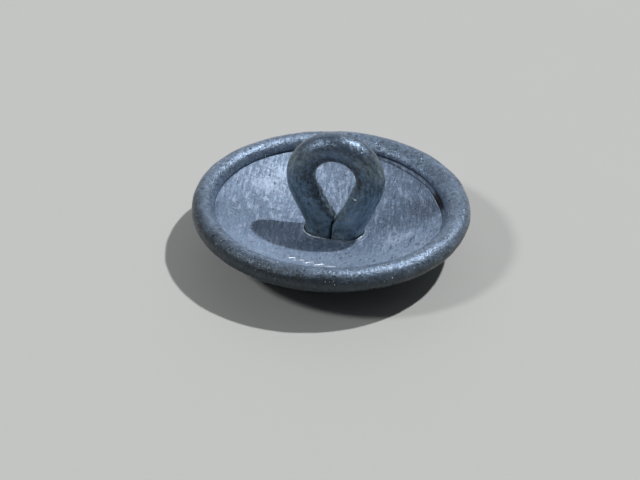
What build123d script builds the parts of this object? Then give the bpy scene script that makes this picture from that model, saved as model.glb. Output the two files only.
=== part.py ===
"""A sew-on button with a wire eye, lying on its face.

A domed front shell has its edge rolled into a round bead. The bead's lip closes down on a dished
back plate. A round wire, bent into an eye, stands in the plate: its two legs go through an oblong
hole, are clinched flat under the plate, and are soldered where they leave it. A ring of card fills
the space between shell and plate.

Frame: millimetres, +Z up through the eye, origin under the middle of the face, where the button rests.
"""

from math import asin, atan2, cos, degrees, radians, sin, sqrt, tan
import os

from build123d import *

# Button as a whole
button_diameter = 23.0
bead_diameter = 1.92  # section of the rolled rim
face_crown = 3.68  # from the face's lowest point to the middle of the bead
land_diameter = 3.0  # the face is rubbed flat here, and rests on it

# Sheet and card
shell_thickness = 0.35
plate_thickness = 0.35
card_thickness = 0.25
inner_gap = 0.42  # between shell and plate, on the axis
lip_drop = 0.08  # the lip's end lies this far under the middle of the bead

# Wire eye
wire_diameter = 2.4
eye_opening = 3.35  # across the round end of the eye
eye_height = 9.35  # from the plate to the top of the wire
leg_gap = 0.06  # between the two legs where they meet
left_knee = 0.237  # where the left leg turns outward, as a share of the way from plate to round end
right_knee = 0.104
knee_radius = 1.6  # of the wire's middle line
eye_turn = -10.8  # degrees about Z
eye_offset = 0.3  # the eye stands this far off the button's middle
foot_thickness = 0.28
foot_reach = 0.8  # of each clinched foot past its leg

# Solder
solder_width = 0.42
solder_height = 0.16

# Clearances
running_gap = 0.02  # between curved faces that lie against each other
hole_clearance = 0.05  # around the legs in the plate's hole
card_clearance = 0.3  # between the card's hole and the feet


# Bead: a round section about a ring
bead_radius = bead_diameter / 2
hollow_radius = bead_radius - shell_thickness
ring_radius = button_diameter / 2 - bead_radius

# Face: a sphere that runs into the bead without a corner
edge_angle = 2 * degrees(atan2(face_crown - bead_radius, ring_radius))
dome_radius = ring_radius / sin(radians(edge_angle)) + bead_radius
land_radius = land_diameter / 2
rubbed_depth = dome_radius - sqrt(dome_radius**2 - land_radius**2)
dome_centre_z = dome_radius - rubbed_depth
inside_radius = dome_radius - shell_thickness
inside_z = dome_centre_z - inside_radius
ring_z = face_crown - rubbed_depth

# Plate: a spherical dish with a flat brim under the lip
brim_z = ring_z - lip_drop
dish_z = inside_z + inner_gap + plate_thickness
dish_depth = brim_z - dish_z
dish_edge_radius = ring_radius - sqrt(bead_radius**2 - lip_drop**2)
dish_radius = (dish_edge_radius**2 + dish_depth**2) / (2 * dish_depth)
dish_centre_z = dish_z + dish_radius
under_radius = dish_radius + plate_thickness
brim_seat = sqrt(max(hollow_radius**2 - (lip_drop + plate_thickness) ** 2, 0))
brim_radius = ring_radius + brim_seat - running_gap

# Eye
wire_radius = wire_diameter / 2
bend_radius = eye_opening / 2 + wire_radius
bend_z = dish_z + eye_height - wire_radius - bend_radius
leg_x = wire_radius + leg_gap / 2
eye_plane = Plane(
    origin=(eye_offset, 0, 0),
    x_dir=(cos(radians(eye_turn)), sin(radians(eye_turn)), 0),
    z_dir=(0, 0, 1),
)
feet_top_radius = under_radius + running_gap
feet_bottom_radius = feet_top_radius + foot_thickness
feet_half_width = leg_x + wire_radius + foot_reach
leg_end_z = dish_centre_z - sqrt(feet_bottom_radius**2 - (leg_x + wire_radius + eye_offset) ** 2)

# Card
card_bottom_radius = inside_radius - running_gap
card_top_radius = card_bottom_radius - card_thickness
card_inner_radius = feet_half_width + eye_offset + card_clearance
card_outer_radius = dish_edge_radius - shell_thickness


def around(centre_x, centre_z, radius, angle):
    """Point on a circle; the angle is in degrees from +X towards +Z."""
    turn = radians(angle)
    return (centre_x + radius * cos(turn), centre_z + radius * sin(turn))


def on_bead(radius, angle):
    return around(ring_radius, ring_z, radius, angle)


def on_bowl(centre_z, radius, reach):
    """Point on the underside of a sphere about the axis, at the distance reach from it."""
    return (reach, centre_z - sqrt(radius**2 - reach**2))


def bowl_arc(centre_z, radius, near, far):
    """Arc on that underside, from one distance to another."""
    return ThreePointArc(
        on_bowl(centre_z, radius, near),
        on_bowl(centre_z, radius, (near + far) / 2),
        on_bowl(centre_z, radius, far),
    )


def bead_arc(radius, first, last):
    return ThreePointArc(on_bead(radius, first), on_bead(radius, (first + last) / 2), on_bead(radius, last))


# Front shell: land, dome, bead and lip, in one sheet
tangent_angle = edge_angle - 90
lip_outer_angle = 180 + degrees(asin(lip_drop / bead_radius))
lip_inner_angle = 180 + degrees(asin(lip_drop / hollow_radius))
with BuildPart() as front_shell:
    with BuildSketch(Plane.XZ):
        with BuildLine():
            Line((0, 0), (land_radius, 0))
            bowl_arc(dome_centre_z, dome_radius, land_radius, on_bead(bead_radius, tangent_angle)[0])
            bead_arc(bead_radius, tangent_angle, lip_outer_angle)
            Line(on_bead(bead_radius, lip_outer_angle), on_bead(hollow_radius, lip_inner_angle))
            bead_arc(hollow_radius, lip_inner_angle, tangent_angle)
            bowl_arc(dome_centre_z, inside_radius, on_bead(hollow_radius, tangent_angle)[0], 0)
            Line((0, inside_z), (0, 0))
        make_face()
    revolve(axis=Axis.Z)

# Back plate: dish and brim, with the legs' hole
brim_under_radius = sqrt(under_radius**2 - (dish_centre_z - brim_z + plate_thickness) ** 2)
with BuildPart() as back_plate:
    with BuildSketch(Plane.XZ):
        with BuildLine():
            bowl_arc(dish_centre_z, dish_radius, 0, dish_edge_radius)
            Line((dish_edge_radius, brim_z), (brim_radius, brim_z))
            Line((brim_radius, brim_z), (brim_radius, brim_z - plate_thickness))
            Line((brim_radius, brim_z - plate_thickness), (brim_under_radius, brim_z - plate_thickness))
            bowl_arc(dish_centre_z, under_radius, brim_under_radius, 0)
            Line((0, dish_z - plate_thickness), (0, dish_z))
        make_face()
    revolve(axis=Axis.Z)
    with BuildSketch(eye_plane):
        SlotCenterToCenter(2 * leg_x, wire_diameter + 2 * hole_clearance)
    extrude(amount=brim_z, mode=Mode.SUBTRACT)


# Wire eye: the middle line, in the eye's own upright plane
def leg_turn(knee):
    """Angle in degrees by which a leg leans, from its knee to the round end."""
    rise = (1 - knee) * (bend_z - dish_z)
    return degrees(asin(bend_radius / sqrt(leg_x**2 + rise**2)) - atan2(leg_x, rise))


def leg_stations(side, knee):
    """End of the leg, three points along the knee's arc, and where the leg meets the round end."""
    turn = radians(leg_turn(knee))
    low_z = dish_z + knee * (bend_z - dish_z) - knee_radius * tan(turn / 2)
    arc = [
        (side * (leg_x + knee_radius * (1 - cos(angle))), low_z + knee_radius * sin(angle))
        for angle in (0, turn / 2, turn)
    ]
    return (side * leg_x, leg_end_z), arc, (side * bend_radius * cos(turn), bend_z - bend_radius * sin(turn))


left_end, left_arc, left_meet = leg_stations(-1, left_knee)
right_end, right_arc, right_meet = leg_stations(1, right_knee)
upright = Plane(origin=eye_plane.origin, x_dir=eye_plane.x_dir, z_dir=-eye_plane.y_dir)
with BuildPart() as wire_eye:
    with BuildSketch(Plane.XZ):
        with BuildLine():
            bowl_arc(dish_centre_z, feet_top_radius, 0, feet_half_width + eye_offset)
            Line(
                on_bowl(dish_centre_z, feet_top_radius, feet_half_width + eye_offset),
                on_bowl(dish_centre_z, feet_bottom_radius, feet_half_width + eye_offset),
            )
            bowl_arc(dish_centre_z, feet_bottom_radius, feet_half_width + eye_offset, 0)
            Line((0, dish_centre_z - feet_bottom_radius), (0, dish_centre_z - feet_top_radius))
        make_face()
    revolve(axis=Axis.Z)
    with BuildSketch(eye_plane):
        for side in (-1, 1):
            with Locations((side * (leg_x + foot_reach / 2), 0)):
                SlotCenterToCenter(foot_reach, wire_diameter)
    extrude(amount=brim_z, mode=Mode.INTERSECT)
    with BuildLine(upright) as eye_line:
        Line(left_end, left_arc[0])
        ThreePointArc(*left_arc)
        Line(left_arc[-1], left_meet)
        ThreePointArc(left_meet, (0, bend_z + bend_radius), right_meet)
        Line(right_meet, right_arc[-1])
        ThreePointArc(*reversed(right_arc))
        Line(right_arc[0], right_end)
    with BuildSketch(Plane(origin=eye_line.line @ 0, z_dir=eye_line.line % 0)):
        Circle(wire_radius)
    sweep(path=eye_line.line)

# Solder: a tapered collar on the plate, with the legs' room taken out of it
with BuildPart() as solder_fillet:
    with BuildSketch(eye_plane.offset(dish_z)):
        SlotCenterToCenter(2 * leg_x, wire_diameter + 2 * solder_width)
    extrude(amount=solder_height, taper=45)
    add(back_plate.part, mode=Mode.SUBTRACT)
    add(wire_eye.part, mode=Mode.SUBTRACT)

# Filler card: a dished ring that lies in the shell
with BuildPart() as filler_card:
    with BuildSketch(Plane.XZ):
        with BuildLine():
            bowl_arc(dome_centre_z, card_bottom_radius, card_inner_radius, card_outer_radius)
            Line(
                on_bowl(dome_centre_z, card_bottom_radius, card_outer_radius),
                on_bowl(dome_centre_z, card_top_radius, card_outer_radius),
            )
            bowl_arc(dome_centre_z, card_top_radius, card_outer_radius, card_inner_radius)
            Line(
                on_bowl(dome_centre_z, card_top_radius, card_inner_radius),
                on_bowl(dome_centre_z, card_bottom_radius, card_inner_radius),
            )
        make_face()
    revolve(axis=Axis.Z)

os.makedirs("parts", exist_ok=True)
pieces = {
    "front_shell": front_shell,
    "back_plate": back_plate,
    "wire_eye": wire_eye,
    "solder_fillet": solder_fillet,
    "filler_card": filler_card,
}
for name, piece in pieces.items():
    piece.part.label = name
    export_step(piece.part, f"parts/{name}.step")

print("dish depth", round(dish_depth, 3), "dome radius", round(dome_radius, 2))
print("leans", round(leg_turn(left_knee), 1), round(leg_turn(right_knee), 1))
print("levels: dish", round(dish_z, 3), "brim", round(brim_z, 3), "eye centre", round(bend_z, 3))
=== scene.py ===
"""Looks of a sew-on button that lies on its face.

Rolled rim, dished back, bent wire eye, solder, card, floor and lights.
Lengths inside the classes are millimetres. They become metres when a mesh is made.
"""

from __future__ import annotations

import logging
import math
import random
from dataclasses import dataclass, field
from enum import Enum

import bmesh
import bpy
from mathutils import Matrix, Vector, noise

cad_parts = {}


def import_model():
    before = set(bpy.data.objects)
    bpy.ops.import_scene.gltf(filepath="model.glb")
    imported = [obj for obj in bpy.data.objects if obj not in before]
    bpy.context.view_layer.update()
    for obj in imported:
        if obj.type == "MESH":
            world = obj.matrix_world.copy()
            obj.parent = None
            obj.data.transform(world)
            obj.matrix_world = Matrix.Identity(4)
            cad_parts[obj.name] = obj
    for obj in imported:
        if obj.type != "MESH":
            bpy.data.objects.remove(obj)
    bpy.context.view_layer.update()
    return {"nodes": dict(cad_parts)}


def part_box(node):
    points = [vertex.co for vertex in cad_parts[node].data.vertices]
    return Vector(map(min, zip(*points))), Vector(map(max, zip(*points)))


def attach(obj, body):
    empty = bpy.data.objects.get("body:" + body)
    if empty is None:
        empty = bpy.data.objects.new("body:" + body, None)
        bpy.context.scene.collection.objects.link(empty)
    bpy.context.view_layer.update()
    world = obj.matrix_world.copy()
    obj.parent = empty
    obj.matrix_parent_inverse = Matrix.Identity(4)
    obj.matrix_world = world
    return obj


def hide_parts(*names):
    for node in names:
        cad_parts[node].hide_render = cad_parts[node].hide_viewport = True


log = logging.getLogger("button")

MM = 0.001
BODY = "root"
Ring = list[tuple[float, float, float]]
Colour = tuple[float, float, float, float]
Piece = bpy.types.Object
Tree = bpy.types.NodeTree
Socket = bpy.types.NodeSocket
Trees = dict[str, Tree]


# ---------------------------------------------------------------------------
# Small helpers
# ---------------------------------------------------------------------------


def ease(low: float, high: float, value: float) -> float:
    """Smooth step from 0 at low to 1 at high."""
    t = min(max((value - low) / (high - low), 0.0), 1.0)
    return t * t * (3 - 2 * t)


def rough(x: float, y: float, z: float, size: float, seed: float = 0.0) -> float:
    """Smooth noise between about -1 and 1, with bumps of the given size in mm."""
    return noise.noise(Vector((x / size + seed, y / size - seed, z / size + 2 * seed)))


def near_angle(angle: float, middle: float, spread: float) -> float:
    """Bell of height 1 about a middle angle, all in degrees."""
    off = (angle - middle + 180) % 360 - 180
    return math.exp(-((off / spread) ** 2))


def bell(distance: float, width: float) -> float:
    """Bell of height 1 at distance 0."""
    return math.exp(-((distance / width) ** 2))


def node_box(node: str) -> tuple[Vector, Vector]:
    """Lowest and highest corner of a CAD node, in mm."""
    low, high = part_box(node)
    return low / MM, high / MM


def in_scene(name: str, data: bpy.types.ID) -> Piece:
    """Make an object from a mesh, curve, light or camera, and link it to the scene."""
    made = bpy.data.objects.new(name, data)
    bpy.context.scene.collection.objects.link(made)
    return made


def loft(name: str, rings: list[Ring], closed: bool) -> Piece:
    """Skin a row of closed rings into one closed mesh.

    Args:
        name: name of the object and its mesh.
        rings: rings of equally many points, in mm.
        closed: join the last ring to the first; otherwise both ends are closed with a fan.

    Returns:
        The new object, with its faces pointing outwards.
    """
    mesh = bmesh.new()
    rows = [[mesh.verts.new(Vector(point) * MM) for point in ring] for ring in rings]
    pairs = list(zip(rows, rows[1:] + rows[:1])) if closed else list(zip(rows, rows[1:]))
    for one, two in pairs:
        for i, vert in enumerate(one):
            j = (i + 1) % len(one)
            mesh.faces.new((vert, one[j], two[j], two[i]))
    if not closed:
        for row in (rows[0], rows[-1]):
            pole = mesh.verts.new(sum((vert.co for vert in row), Vector()) / len(row))
            for i, vert in enumerate(row):
                mesh.faces.new((vert, row[(i + 1) % len(row)], pole))
    bmesh.ops.recalc_face_normals(mesh, faces=mesh.faces)
    for face in mesh.faces:
        face.smooth = True
    data = bpy.data.meshes.new(name)
    mesh.to_mesh(data)
    mesh.free()
    return in_scene(name, data)


def join(name: str, parts: list[Piece]) -> Piece:
    """Join meshes into one object of that name, keeping their materials and attributes.

    Args:
        name: name of the joined object and its mesh.
        parts: the meshes, which are used up.

    Returns:
        The joined object.
    """
    bpy.ops.object.select_all(action="DESELECT")
    for part in parts:
        part.select_set(True)
    bpy.context.view_layer.objects.active = parts[0]
    bpy.ops.object.join()
    parts[0].name = parts[0].data.name = name
    return parts[0]


def path_curve(name: str, points: Ring, cyclic: bool = False, radii: list[float] | None = None) -> Piece:
    """Make a poly curve through points in mm, with a radius factor at each, or 1 all along.

    Args:
        name: name of the object.
        points: the curve's points.
        cyclic: join its ends.
        radii: factors of the bar's radius.

    Returns:
        The new curve.
    """
    data = bpy.data.curves.new(name, "CURVE")
    data.dimensions = "3D"
    spline = data.splines.new("POLY")
    spline.points.add(len(points) - 1)
    for i, point in enumerate(points):
        spline.points[i].co = (*(Vector(point) * MM), 1.0)
        spline.points[i].radius = radii[i] if radii else 1.0
    spline.use_cyclic_u = cyclic
    return in_scene(name, data)


def seat(piece: Piece, node: str) -> None:
    """Let a piece stand for a CAD node and ride on the button.

    Args:
        piece: the finished mesh.
        node: name of the CAD node.
    """
    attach(piece, BODY)
    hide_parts(node)
    log.info("%s stands for %s, %d faces", piece.name, node, len(piece.data.polygons))


# ---------------------------------------------------------------------------
# Node trees
# ---------------------------------------------------------------------------


class Wiring:
    """Adds nodes to one tree and links them. A value is a number, a tuple, or a socket to link from."""

    GIVES_NUMBER = ("DISTANCE", "DOT_PRODUCT", "LENGTH")

    def __init__(self, tree: Tree) -> None:
        """Keep the tree."""
        self.tree = tree

    def plug(self, sockets: list[Socket], values: list) -> None:
        """Link or set sockets in their order.

        Args:
            sockets: the sockets.
            values: their values, of which there may be fewer.
        """
        for socket, value in zip(sockets, values):
            if isinstance(value, Socket):
                self.tree.links.new(value, socket)
            else:
                socket.default_value = value

    def feed(self, node: bpy.types.Node, **inputs: object) -> None:
        """Link or set inputs by name, with underscores for spaces, each the first enabled one of its name.

        Args:
            node: the node.
            inputs: socket name to its value.
        """
        for name, value in inputs.items():
            label = name.replace("_", " ")
            self.plug([next(s for s in node.inputs if s.name == label and s.enabled)], [value])

    def add(self, kind: str, settings: dict | None = None, **inputs: object) -> bpy.types.Node:
        """Add a node.

        Args:
            kind: the node's bl_idname.
            settings: properties of the node.
            inputs: socket name, with underscores for spaces, to its value.

        Returns:
            The new node.
        """
        node = self.tree.nodes.new(kind)
        for name, value in (settings or {}).items():
            setattr(node, name, value)
        self.feed(node, **inputs)
        return node

    def maths(self, operation: str, *values: object) -> Socket:
        """Math node on numbers.

        Args:
            operation: the node's operation.
            values: its inputs, in their order.

        Returns:
            The result.
        """
        node = self.add("ShaderNodeMath", {"operation": operation})
        self.plug(node.inputs, values)
        return node.outputs[0]

    def times(self, one: object, two: object) -> Socket:
        """Product of two numbers."""
        return self.maths("MULTIPLY", one, two)

    def vectors(self, operation: str, *values: object) -> Socket:
        """Vector math node on vectors, with the last value as scale where it has one.

        Args:
            operation: the node's operation.
            values: its inputs, in their order.

        Returns:
            The result, a number for a length or product.
        """
        node = self.add("ShaderNodeVectorMath", {"operation": operation})
        self.plug([node.inputs[0], node.inputs["Scale"]] if operation == "SCALE" else node.inputs, values)
        return node.outputs["Value" if operation in self.GIVES_NUMBER else "Vector"]

    def vector(self, x: object, y: object, z: object) -> Socket:
        """Vector from three numbers."""
        return self.add("ShaderNodeCombineXYZ", X=x, Y=y, Z=z).outputs[0]

    def axis(self, name: str, vector: Socket) -> Socket:
        """The X, Y or Z of a vector."""
        return self.add("ShaderNodeSeparateXYZ", Vector=vector).outputs[name]

    def between(
        self, value: object, low: object, high: object, start: object = 0.0, end: object = 1.0
    ) -> Socket:
        """Number that goes smoothly from start to end as the value goes from low to high.

        Args:
            value: what is mapped.
            low: value at the start.
            high: value at the end.
            start: result at low.
            end: result at high.

        Returns:
            The mapped number.
        """
        ends = {"From_Min": low, "From_Max": high, "To_Min": start, "To_Max": end}
        node = self.add("ShaderNodeMapRange", {"interpolation_type": "SMOOTHSTEP"}, Value=value, **ends)
        return node.outputs[0]

    def blend(self, factor: object, one: object, two: object) -> Socket:
        """Mix of two colours."""
        return self.add("ShaderNodeMix", {"data_type": "RGBA"}, Factor=factor, A=one, B=two).outputs[2]


class Group(Wiring):
    """A node group in the making."""

    def __init__(self, name: str, kind: str, inputs: dict[str, object], outputs: tuple[str, ...]) -> None:
        """Make the group's sockets.

        Args:
            name: name of the group.
            kind: Shader or Geometry.
            inputs: socket name to its default value, or to the name of its kind where it has no default.
            outputs: names of the sockets, which hold numbers in a shader group.
        """
        super().__init__(bpy.data.node_groups.new(name, kind + "NodeTree"))
        make = self.tree.interface.new_socket
        for label, start in inputs.items():
            sort = start if isinstance(start, str) else type(start).__name__.capitalize()
            made = make(label, in_out="INPUT", socket_type="NodeSocket" + sort)
            if sort != start:
                made.default_value = start
        for label in outputs:
            make(label, in_out="OUTPUT", socket_type="NodeSocket" + ("Float" if kind == "Shader" else kind))
        self.given = self.add("NodeGroupInput").outputs
        self.end = self.add("NodeGroupOutput")

    def deliver(self, geometry: Socket) -> Tree:
        """Shade the geometry smooth, make it real, dress it in the given finish, and end the tree.

        Args:
            geometry: what the tree has made.

        Returns:
            The finished tree.
        """
        smooth = self.add("GeometryNodeSetShadeSmooth", Geometry=geometry)
        real = self.add("GeometryNodeRealizeInstances", Geometry=smooth.outputs[0])
        dressed = self.add("GeometryNodeSetMaterial", Geometry=real.outputs[0], Material=self.given["Finish"])
        self.feed(self.end, Geometry=dressed.outputs[0])
        return self.tree


def sweep_tree() -> Tree:
    """Geometry Nodes that sweep a round bar along a curve, with uneven walls.

    The bar keeps a vector attribute, straight, with its length along X and its section in Y and Z.

    Returns:
        The finished tree.
    """
    sizes = {"Bar Radius": 0.001, "Steps": 200, "Sides": 48, "Unevenness": 0.0, "Lump": 0.001, "Stretch": 0.2}
    inputs = {"Geometry": "Geometry", **sizes, "Seed": 1.0, "Caps": True, "Finish": "Material"}
    w = Group("bar_along_path", "Geometry", inputs, ("Geometry",))
    given = w.given
    counted = {"Curve": given["Geometry"], "Count": given["Steps"]}
    path = w.add("GeometryNodeResampleCurve", {"mode": "COUNT"}, **counted)
    keep_along = w.add("GeometryNodeCaptureAttribute", Geometry=path.outputs["Curve"])
    keep_along.capture_items.new("FLOAT", "Along")
    w.feed(keep_along, Along=w.add("GeometryNodeSplineParameter").outputs["Length"])
    section = w.add("GeometryNodeCurvePrimitiveCircle", Resolution=given["Sides"], Radius=given["Bar Radius"])
    keep_round = w.add("GeometryNodeCaptureAttribute", Geometry=section.outputs["Curve"])
    keep_round.capture_items.new("VECTOR", "Round")
    w.feed(keep_round, Round=w.add("GeometryNodeInputPosition").outputs[0])
    bar = w.add(
        "GeometryNodeCurveToMesh",
        Curve=keep_along.outputs["Geometry"],
        Profile_Curve=keep_round.outputs["Geometry"],
        Scale=w.add("GeometryNodeInputRadius").outputs[0],
        Fill_Caps=given["Caps"],
    )
    across = [w.axis(name, keep_round.outputs["Round"]) for name in "XY"]
    straight = w.vector(keep_along.outputs["Along"], *across)
    lump = w.vector(w.maths("DIVIDE", given["Lump"], given["Stretch"]), given["Lump"], given["Lump"])
    stretched = w.vectors("DIVIDE", straight, lump)
    waves = {"Vector": stretched, "W": given["Seed"], "Scale": 1.0, "Detail": 2.0}
    lumps = w.add("ShaderNodeTexNoise", {"noise_dimensions": "4D"}, **waves)
    push = w.times(w.maths("SUBTRACT", lumps.outputs["Fac"], 0.5), given["Unevenness"])
    offset = w.vectors("SCALE", w.add("GeometryNodeInputNormal").outputs[0], push)
    moved = w.add("GeometryNodeSetPosition", Geometry=bar.outputs["Mesh"], Offset=offset)
    stored = w.add(
        "GeometryNodeStoreNamedAttribute",
        {"data_type": "FLOAT_VECTOR", "domain": "POINT"},
        Geometry=moved.outputs[0],
        Name="straight",
        Value=straight,
    )
    return w.deliver(stored.outputs[0])


def crumbs_tree() -> Tree:
    """Geometry Nodes that scatter low crumbs over the upper faces of a piece, and give only the crumbs.

    Returns:
        The finished tree.
    """
    sizes = {"Density": 1.0, "Largest": 0.0001, "Smallest": 0.00003, "Above": 0.0, "Upright": 0.3}
    inputs = {"Geometry": "Geometry", **sizes, "Seed": 1, "Finish": "Material"}
    w = Group("crumbs_on_metal", "Geometry", inputs, ("Geometry",))
    given = w.given
    height = w.axis("Z", w.add("GeometryNodeInputPosition").outputs[0])
    level = w.axis("Z", w.add("GeometryNodeInputNormal").outputs[0])
    limits = ((height, given["Above"]), (level, given["Upright"]))
    open_face = w.times(*(w.maths("GREATER_THAN", value, limit) for value, limit in limits))
    points = w.add(
        "GeometryNodeDistributePointsOnFaces",
        {"distribute_method": "RANDOM"},
        Mesh=given["Geometry"],
        Selection=open_face,
        Density=given["Density"],
        Seed=given["Seed"],
    )
    crumb = w.add("GeometryNodeMeshIcoSphere", Radius=1.0, Subdivisions=1)
    luck = w.add("FunctionNodeRandomValue", {"data_type": "FLOAT"}, Seed=given["Seed"])
    w.feed(luck, Min=given["Smallest"], Max=given["Largest"])
    size = luck.outputs[1]
    spread = w.add(
        "GeometryNodeInstanceOnPoints",
        Points=points.outputs["Points"],
        Instance=crumb.outputs["Mesh"],
        Rotation=points.outputs["Rotation"],
        Scale=w.vector(size, size, w.times(size, 0.45)),
    )
    return w.deliver(spread.outputs[0])


def apply_tree(piece: Piece, tree: Tree, **values: object) -> Piece:
    """Run a Geometry Nodes tree on a piece and keep the result as a plain mesh.

    Args:
        piece: a mesh or a curve, which is used up.
        tree: the tree.
        values: input name, with underscores for spaces, to its value.

    Returns:
        A mesh object with the piece's name.
    """
    name = piece.name
    modifier = piece.modifiers.new(tree.name, "NODES")
    modifier.node_group = tree
    for item in tree.interface.items_tree:
        key = item.name.replace(" ", "_")
        if item.item_type == "SOCKET" and item.in_out == "INPUT" and key in values:
            modifier[item.identifier] = values[key]
    piece.update_tag()
    bpy.context.view_layer.update()
    graph = bpy.context.evaluated_depsgraph_get()
    data = bpy.data.meshes.new_from_object(piece.evaluated_get(graph), depsgraph=graph)
    bpy.data.objects.remove(piece)
    data.name = name
    return in_scene(name, data)


def mottle_group() -> Tree:
    """Cloudy mask from stains and handling.

    Returns:
        The finished tree.
    """
    w = Group("mottle", "Shader", {"Vector": "Vector", "Size": 1.0, "Low": 0.4, "High": 0.6}, ("Mask",))
    place = w.vectors("SCALE", w.given["Vector"], w.maths("DIVIDE", 1.0, w.given["Size"]))
    cloud = w.add("ShaderNodeTexNoise", Vector=place, Scale=1.0, Detail=5.0, Roughness=0.62)
    w.feed(w.end, Mask=w.between(cloud.outputs["Fac"], w.given["Low"], w.given["High"]))
    return w.tree


def pits_group() -> Tree:
    """Small round pits: a mask that is 1 in a pit and a height that falls into it.

    Returns:
        The finished tree.
    """
    inputs = {"Vector": "Vector", "Spacing": 0.5, "Share": 0.4, "Width": 0.2}
    w = Group("pits", "Shader", inputs, ("Mask", "Height"))
    place = w.vectors("SCALE", w.given["Vector"], w.maths("DIVIDE", 1.0, w.given["Spacing"]))
    cells = w.add("ShaderNodeTexVoronoi", Vector=place, Scale=1.0)
    luck = w.add("ShaderNodeSeparateColor", Color=cells.outputs["Color"]).outputs[0]
    chosen = w.maths("LESS_THAN", luck, w.given["Share"])
    reach = w.times(w.given["Width"], w.between(luck, 0.0, w.given["Share"], 0.5, 1.0))
    mask = w.times(w.between(cells.outputs["Distance"], w.times(reach, 0.35), reach, 1.0, 0.0), chosen)
    w.feed(w.end, Mask=mask, Height=w.times(mask, -1.0))
    return w.tree


def scratches_group() -> Tree:
    """Straight rubbed scratches: a fine grain, and a few deep ones, along one direction in the X-Y plane.

    Returns:
        The finished tree.
    """
    inputs = {"Vector": "Vector", "Turn": 0.0, "Width": 0.1, "Length": 3.0, "Depth Cut": 0.6}
    w = Group("scratches", "Shader", inputs, ("Grain", "Deep"))
    given = w.given
    flat_turn = {"Vector": given["Vector"], "Angle": given["Turn"]}
    turned = w.add("ShaderNodeVectorRotate", {"rotation_type": "Z_AXIS"}, **flat_turn)
    long, wide = (w.maths("DIVIDE", 1.0, given[name]) for name in ("Length", "Width"))
    drawn = w.vectors("MULTIPLY", turned.outputs[0], w.vector(wide, long, long))
    fewer = w.vectors("MULTIPLY", drawn, (0.55, 1.6, 1.6))
    grain = w.add("ShaderNodeTexNoise", Vector=drawn, Scale=1.0, Detail=4.0, Roughness=0.65, Distortion=0.15)
    cuts = w.add("ShaderNodeTexNoise", Vector=fewer, Scale=1.0, Detail=1.0, Distortion=0.1)
    deep = w.between(cuts.outputs["Fac"], given["Depth Cut"], w.maths("ADD", given["Depth Cut"], 0.06))
    w.feed(w.end, Grain=grain.outputs["Fac"], Deep=deep)
    return w.tree


# ---------------------------------------------------------------------------
# Finishes
# ---------------------------------------------------------------------------


class Material(Wiring):
    """One material in the making: coats of colour and layers of relief on a Principled shader."""

    def __init__(self, name: str, groups: Trees, base: Colour) -> None:
        """Start a material of one plain colour, whose coordinates are in mm."""
        self.data = bpy.data.materials.new(name)
        self.data.use_nodes = True
        super().__init__(self.data.node_tree)
        self.groups, self.colour, self.relief = groups, base, None
        self.place = self.vectors("SCALE", self.add("ShaderNodeTexCoord").outputs["Object"], 1 / MM)

    def group(self, name: str, **inputs: object) -> bpy.types.bpy_prop_collection:
        """Outputs of a shader group, at the button's coordinates unless a Vector is given."""
        inputs = {"Vector": self.place, **inputs}
        return self.add("ShaderNodeGroup", {"node_tree": self.groups[name]}, **inputs).outputs

    def mottle(self, size: float, low: float, high: float, **inputs: object) -> Socket:
        """Mask of blots of a size in mm, which starts at one noise value and is full at another."""
        return self.group("mottle", Size=size, Low=low, High=high, **inputs)["Mask"]

    def noise(self, size: float, detail: float = 3.0, roughness: float = 0.55, **inputs: object) -> Socket:
        """Noise with lumps of a size in mm, at the button's coordinates unless a Vector is given."""
        inputs = {"Vector": self.place, "Scale": 1 / size, "Detail": detail, "Roughness": roughness, **inputs}
        return self.add("ShaderNodeTexNoise", **inputs).outputs["Fac"]

    def shake(self, size: float, amount: float, detail: float = 3.0) -> Socket:
        """Noise about 0, for an uneven border."""
        return self.times(self.maths("SUBTRACT", self.noise(size, detail), 0.5), amount)

    def gloss(self, size: float, low: float, high: float, detail: float = 3.0) -> Socket:
        """Roughness that wanders between two values."""
        return self.between(self.noise(size, detail), 0.3, 0.7, low, high)

    def coat(self, colour: Colour, mask: object, share: object = 1.0) -> None:
        """Lay a share of a colour over the others where the mask is 1."""
        self.colour = self.blend(mask if share == 1.0 else self.times(mask, share), self.colour, colour)

    def emboss(self, height: Socket, depth: float) -> None:
        """Add relief of a depth in mm.

        Args:
            height: the relief, from 0 to 1.
            depth: its depth.
        """
        node = self.add("ShaderNodeBump", Strength=1.0, Distance=depth * MM, Height=height)
        if self.relief is not None:
            self.feed(node, Normal=self.relief)
        self.relief = node.outputs[0]

    def finish(self, **sockets: object) -> bpy.types.Material:
        """Feed the shader and return the material.

        Args:
            sockets: the shader's other sockets, by name.

        Returns:
            The material.
        """
        if self.relief is not None:
            sockets["Normal"] = self.relief
        self.feed(self.tree.nodes["Principled BSDF"], Base_Color=self.colour, **sockets)
        return self.data


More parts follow.
